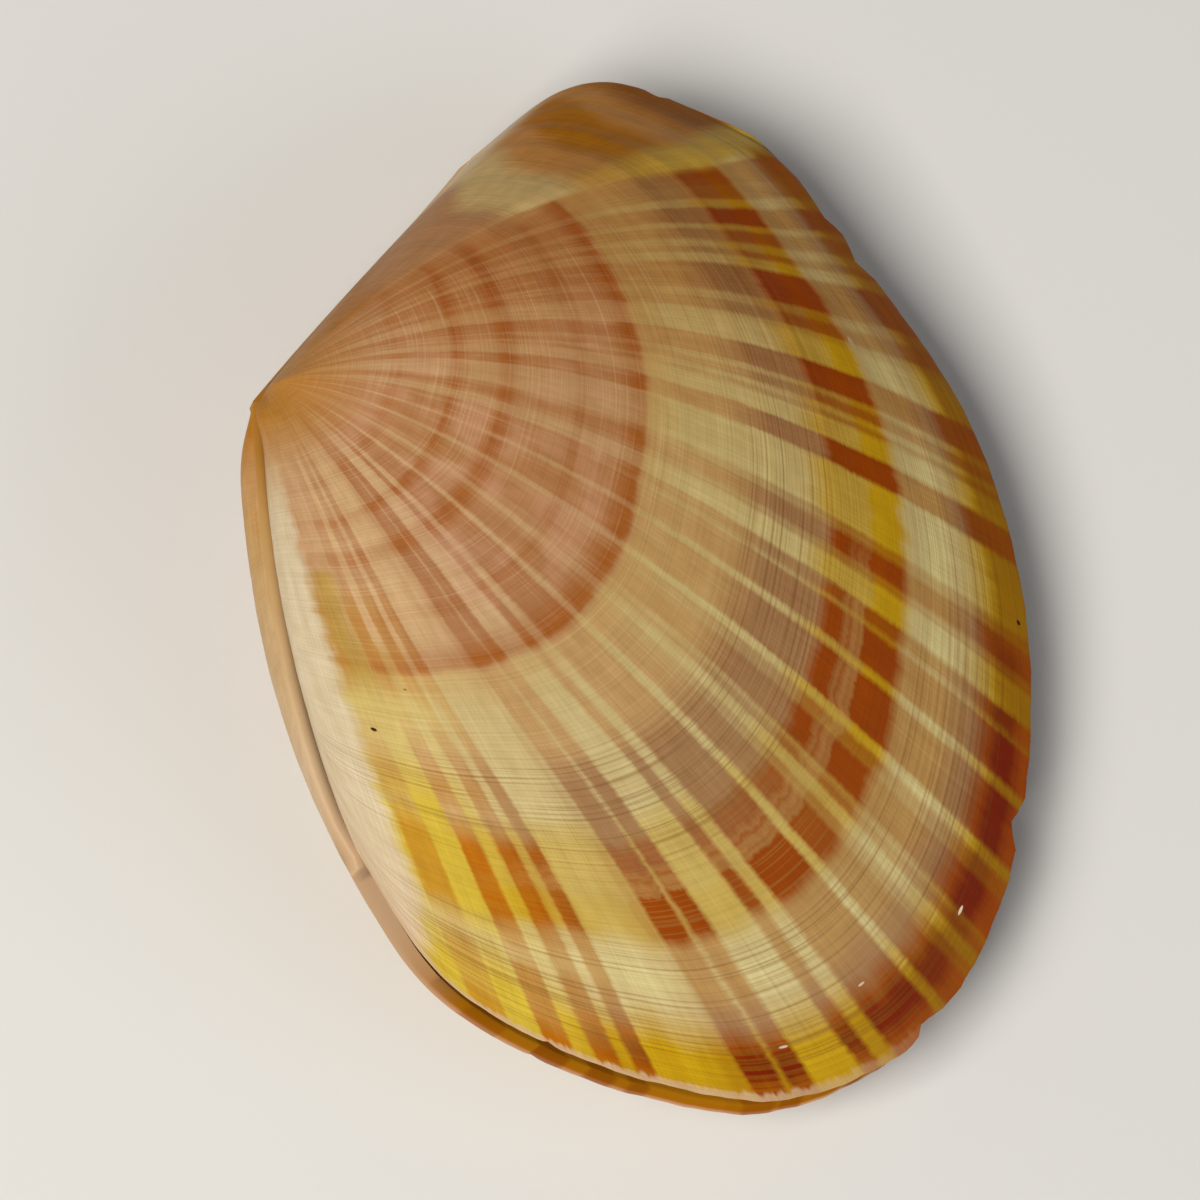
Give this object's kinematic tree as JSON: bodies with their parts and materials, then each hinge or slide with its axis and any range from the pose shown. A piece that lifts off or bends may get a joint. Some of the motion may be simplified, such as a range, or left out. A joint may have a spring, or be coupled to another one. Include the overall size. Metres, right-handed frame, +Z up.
{
  "type": "tellinella cruciata shell",
  "caption": "Paired tellin shell with both valves together, low, oval and drawn out at the rear, lying on its right valve; decoration or study specimen.",
  "frame": {"origin": "middle of the bounding box's bottom, in the plane of the flat spot that the shell rests on", "axes": "+X to the drawn-out rear end, +Y to the hinge side, +Z up and out of the left valve"},
  "size_m": [0.056, 0.041, 0.0167],
  "materials": {
    "left_valve": "satin shell, cream and yellow with rust-brown rays and growth bands",
    "right_valve": "satin shell, tan with brown rays, yellow and orange inside",
    "ligament": "dried, horny, dark brown"
  },
  "bodies": {
    "root": {"left_valve": "left_valve", "right_valve": "right_valve", "ligament": "ligament"}
  },
  "joints": []
}
